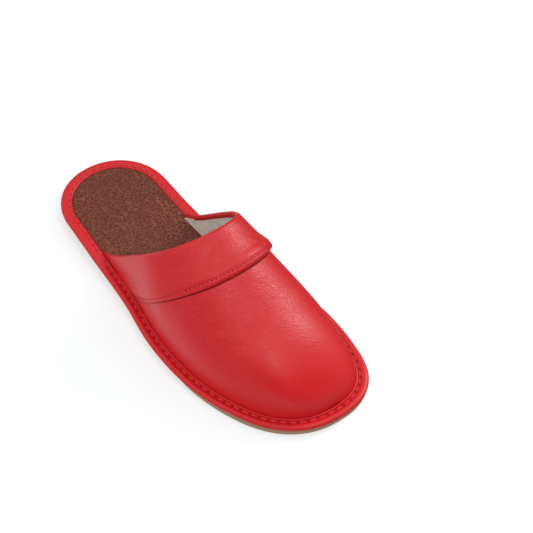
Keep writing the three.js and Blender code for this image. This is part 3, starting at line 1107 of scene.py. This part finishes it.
DISC_AROUND = 420
INSOLE_INSET = 8.0
INSOLE_UP = 2.95
# How deep the footbed is pressed in along its middle.
INSOLE_HOLLOW = 0.75
# How much further out the sole's side stands at the toe.
TOE_FORWARD = 0.7


def build_disc(name, rows, height):
    """A closed flat body inside the outline, from rows of (share to the middle, inset, level)."""
    trips, _ = even_trips(DISC_AROUND, 6.0)

    def point(u, v):
        trip = trips[round(u * DISC_AROUND) % DISC_AROUND]
        share, inset, level = rows[round(v * (len(rows) - 1))]
        x, y = disc_point(trip, inset(trip) if callable(inset) else inset, share)
        return x, y, height(x, y, level, share)

    piece = shaped_grid(name, DISC_AROUND, len(rows) - 1, point)
    merge_doubles(piece, 0.00002)
    return piece


def build_footbed():
    top = INSOLE_UP
    rows = [(share, INSOLE_INSET, 0.35) for share in (1.0, 0.6, 0.3, 0.1, 0.02)]
    rows += [(0.0, INSOLE_INSET, level) for level in (0.35, 1.0, top - 0.6)]
    rows += [(share, INSOLE_INSET, top - drop) for share, drop in
             ((0.004, 0.30), (0.014, 0.12), (0.030, 0.03), (0.055, 0.0), (0.10, 0.0))]
    rows += [(0.10 + 0.90 * i / 36, INSOLE_INSET, top) for i in range(1, 37)]

    def height(x, y, level, share):
        z = sole(y, "top") + level
        if level == top:
            z -= INSOLE_HOLLOW * smooth(share, 0.02, 0.75)
            z += 0.10 * (noise.noise(Vector((x / 13, y / 17, 3))) * smooth(share, 0.0, 0.2))
        return z

    footbed = build_disc("footbed", rows, height)
    footbed.data.materials.append(footbed_leather())
    dress(footbed, "footbed_leather", "insole")


def build_outsole():
    def inset_at(extra):
        def inset(trip):
            share = way_to_toe(trip)
            side = sole(trip_y(trip), "outer" if trip <= 1 else "inner")
            end = SOLE[0]["outer"] if share < 0.5 else SOLE[-1]["outer"]
            forward = TOE_FORWARD * smooth(trip_y(trip), 170, 250)
            return mix(end, side, math.sin(math.pi * share)) - forward + extra
        return inset

    # Levels go up from the underside, or if they are negative down from the top.
    top = 100.0
    rows = [(share, inset_at(1.3), 0.0) for share in (1.0, 0.75, 0.5, 0.3, 0.15, 0.05, 0.0)]
    lower_edge = ((0.85, 0.05), (0.50, 0.25), (0.32, 0.6), (0.26, 1.0), (0.16, 2.4), (0.06, 3.4))
    upper_edge = ((0.0, -1.2), (0.0, -0.5), (0.3, -0.15), (0.8, top))
    rows += [(0.0, inset_at(extra), level) for extra, level in lower_edge + upper_edge]
    rows += [(share, inset_at(0.8), top) for share in (0.03, 0.3, 1.0)]

    def height(x, y, level, share):
        low, high = underside(y), sole(y, "top")
        if level == top:
            return high
        if level < 0:
            return high + level
        return low + level * (high - low) / SOLE[0]["top"]

    outsole = build_disc("rubber_sole", rows, height)
    outsole.data.materials.append(tan_rubber())
    dress(outsole, "sole_rubber", "outsole")


# Floor, lights and camera

def add_softbox(name, towards, distance, width, height, watts):
    """A soft box that stands in a direction from the slipper and faces it."""
    direction = Vector(towards).normalized()
    bpy.ops.object.light_add(type="AREA", location=direction * distance)
    lamp = bpy.context.object
    lamp.name = name
    lamp.rotation_euler = (-direction).to_track_quat("-Z", "Y").to_euler()
    lamp.data.shape = "RECTANGLE"
    lamp.data.size, lamp.data.size_y = width, height
    lamp.data.energy = watts
    return lamp


def build_stage():
    bpy.ops.mesh.primitive_plane_add(size=12, location=(0, 0, 0))
    floor = bpy.context.object
    floor.name = "floor"
    material, tree, shader = new_material("White studio floor")
    fill(tree, shader, {
        "Base Color": (0.58, 0.64, 0.64, 1),
        "Roughness": 0.9,
        "Specular IOR Level": 0.1,
        "Emission Color": (1, 1, 1, 1),
        "Emission Strength": 0.47,
    })
    floor.data.materials.append(material)
    floor.visible_glossy = False

    add_softbox("side_softbox", (-0.80, 0.06, 0.60), distance=1.3, width=0.42, height=0.46, watts=6.8)
    add_softbox("top_softbox", (-0.066, 0.541, 0.839), distance=1.4, width=0.26, height=0.22, watts=1.8)
    outer = add_softbox("outer_fill", (0.72, 0.38, 0.50), distance=1.8, width=1.2, height=1.0, watts=6.8)
    outer.visible_glossy = False

    # A white ceiling over soft grey walls at both sides, dark behind the photographer. Below the
    # table's edge gloss sees the dark room, which is lighter only behind the outer side.
    world = bpy.data.worlds.new("Studio")
    world.use_nodes = True
    tree = world.node_tree
    towards = place_on(tree, "Generated")

    def nearness(x, y, z):
        """1 in this direction, falling to -1 in the opposite one."""
        inputs = {0: towards, 1: Vector((x, y, z)).normalized()}
        return add(tree, "VectorMath", inputs, operation="DOT_PRODUCT").outputs["Value"]

    up = nearness(0, 0, 1)
    outer_wall = ranged(tree, nearness(0.75, -0.60, 0.15), 0.30, 0.97, 0.0, 0.70)
    inner_wall = ranged(tree, nearness(-0.95, 0.10, 0.15), 0.50, 0.97, 0.0, 0.50)
    walls = math_node(tree, "ADD", outer_wall, inner_wall)
    below = ranged(tree, nearness(0.15, -0.70, -0.70), 0.42, 0.95, 0.0, 0.74)
    over_table = ranged(tree, up, -0.05, 0.12)
    sides = add(tree, "Mix", {"Factor": over_table, "A": below, "B": walls}).outputs["Result"]
    overhead = ranged(tree, up, 0.42, 0.88)
    ceiling = add(tree, "Mix", {"Factor": overhead, "A": sides, "B": 1.0}).outputs["Result"]
    studio = tree.nodes["Background"]
    fill(tree, studio, {"Strength": ceiling, "Color": (1, 1, 1, 1)})
    # Behind the floor's far edge the picture itself shows a plain backdrop, as pale as the floor.
    backdrop = add(tree, "Background", {"Color": (0.87, 0.913, 0.913, 1), "Strength": 1.0})
    in_picture = add(tree, "LightPath").outputs["Is Camera Ray"]
    both = add(tree, "MixShader", {0: in_picture, 1: studio.outputs[0], 2: backdrop.outputs[0]})
    fill(tree, tree.nodes["World Output"], {"Surface": both.outputs[0]})
    bpy.context.scene.world = world
    bpy.context.scene.view_settings.view_transform = "Standard"


# Where the photographer's camera stood and aimed, and its focal length in pixels of the frame.
CAMERA_AT = (0.186578, 0.345344, 0.487622)
CAMERA_AIM = (-0.046003, 0.008712, 0.0)
FOCAL_PIXELS = 950
FRAME_PIXELS = 533
SENSOR_WIDTH = 36


def build_camera():
    bpy.ops.object.camera_add(location=CAMERA_AT)
    camera = bpy.context.object
    towards = Vector(CAMERA_AIM) - camera.location
    camera.rotation_euler = towards.to_track_quat("-Z", "Y").to_euler()
    camera.data.sensor_width = SENSOR_WIDTH
    camera.data.lens = SENSOR_WIDTH * FOCAL_PIXELS / FRAME_PIXELS
    camera.data.clip_start = 0.01
    bpy.context.scene.camera = camera


build_camera()
build_stage()
THREAD = red_thread()
build_outsole()
build_footbed()
strip_trips, strip_length = even_trips(STRIP_AROUND, 5.0)
strip_stitch_count = round(strip_length / STRIP_STITCH["pitch"])
build_strip(strip_trips, strip_length, strip_stitch_count)
build_strip_stitches(strip_trips, strip_stitch_count)
build_vamp()
build_lining()
build_cuff()
build_cuff_stitches()
